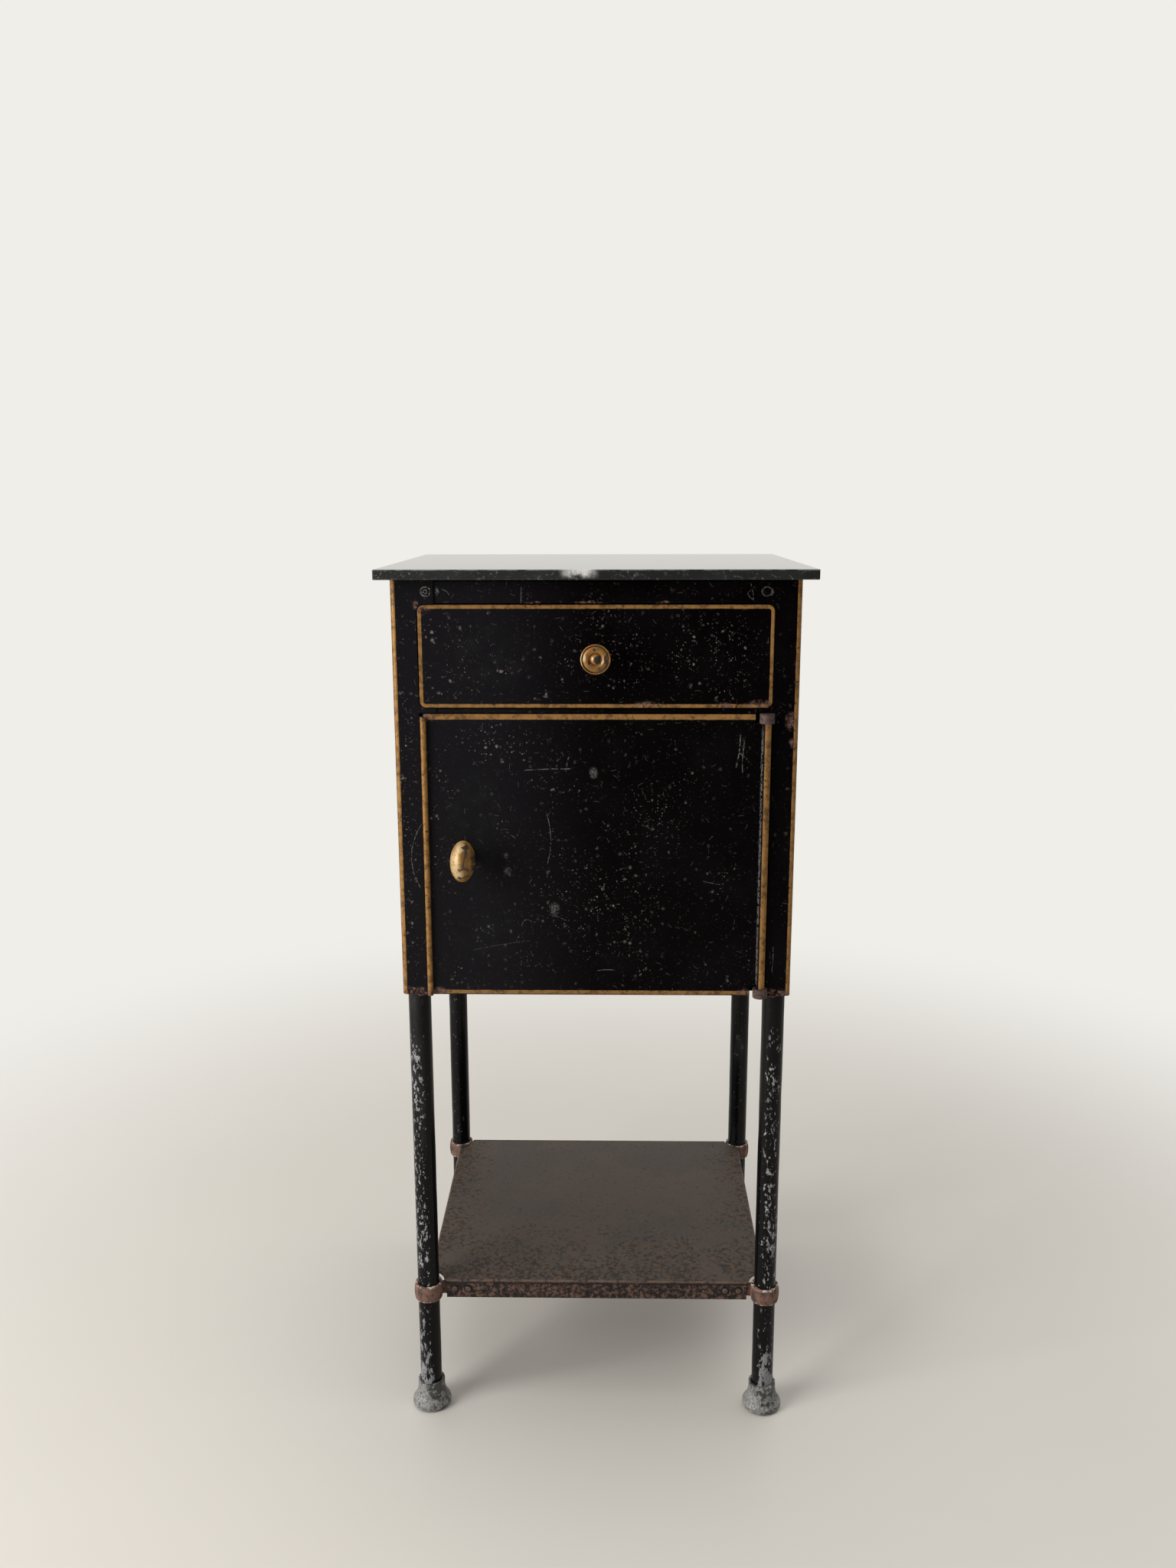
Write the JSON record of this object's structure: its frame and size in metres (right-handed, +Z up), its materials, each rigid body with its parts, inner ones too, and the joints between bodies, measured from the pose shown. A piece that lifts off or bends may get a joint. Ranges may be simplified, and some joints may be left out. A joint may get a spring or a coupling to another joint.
{
  "type": "steel bedside cabinet",
  "caption": "Antique black-japanned sheet-steel bedside cabinet on tubular legs: stone top, drawer over a hinged cupboard with turn latch, open shelf below.",
  "frame": {"origin": "on the floor, at the centre of the overall box in plan", "axes": "+Z up through the stone top, the front with drawer and door faces -Y, +X to the right as seen from the front"},
  "size_m": [0.4, 0.376, 0.868],
  "materials": {
    "black_japan": "satin black baked paint, specked, scratched, with worn gilt lines",
    "leg_paint": "black paint scuffed through to grey steel",
    "foot_iron": "bare grey iron with remains of black paint",
    "collar_iron": "red-brown oxide over old paint",
    "shelf_paint": "brown-black paint mottled with rust towards the edges",
    "inner_paint": "thin dull black paint, rubbed where it slides",
    "rusted_iron": "dark rust",
    "bare_steel": "dull bare steel",
    "aged_brass": "handled brass with dark patina",
    "polished_slate": "polished black-green stone with pale specks and a chipped arris"
  },
  "bodies": {
    "frame": {"leg_front_left": "leg_paint", "leg_front_right": "leg_paint", "leg_rear_left": "leg_paint", "leg_rear_right": "leg_paint", "feet": "foot_iron", "shelf_collars": "collar_iron", "lower_shelf": "shelf_paint", "shelf_rivets": "shelf_paint", "left_side_panel": "black_japan", "right_side_panel": "black_japan", "back_panel": "black_japan", "bottom_panel": "black_japan", "divider_panel": "black_japan", "top_sheet": "black_japan", "top_rail": "black_japan", "rail_rivets": "black_japan", "top_slab": "polished_slate", "drawer_runner_left": "inner_paint", "drawer_runner_right": "inner_paint", "hinge_lug_top": "rusted_iron", "hinge_lug_bottom": "rusted_iron", "hinge_pin": "bare_steel"},
    "drawer": {"drawer_front": "black_japan", "drawer_tray": "inner_paint", "drawer_knob": "aged_brass", "drawer_knob_stud": "aged_brass", "drawer_knob_nut": "bare_steel"},
    "door": {"door_panel": "black_japan", "door_edge_wire": "bare_steel", "latch_bush": "aged_brass"},
    "latch": {"door_knob": "aged_brass", "latch_spindle": "bare_steel", "latch_tongue": "bare_steel", "latch_nut": "bare_steel"}
  },
  "joints": [
    {"name": "drawer_slide", "type": "slide", "parent": "frame", "child": "drawer", "axis": [0, -1, 0], "range_m": [0, 0.24]},
    {"name": "door_hinge", "type": "hinge", "parent": "frame", "child": "door", "pos_m": [0.15744, -0.15301, 0.598], "axis": [0, 0, 1], "range_deg": [0, 165]},
    {"name": "latch_turn", "type": "hinge", "parent": "door", "child": "latch", "pos_m": [-0.1233, -0.14995, 0.6015], "axis": [0, -1, 0], "range_deg": [0, 90]}
  ]
}
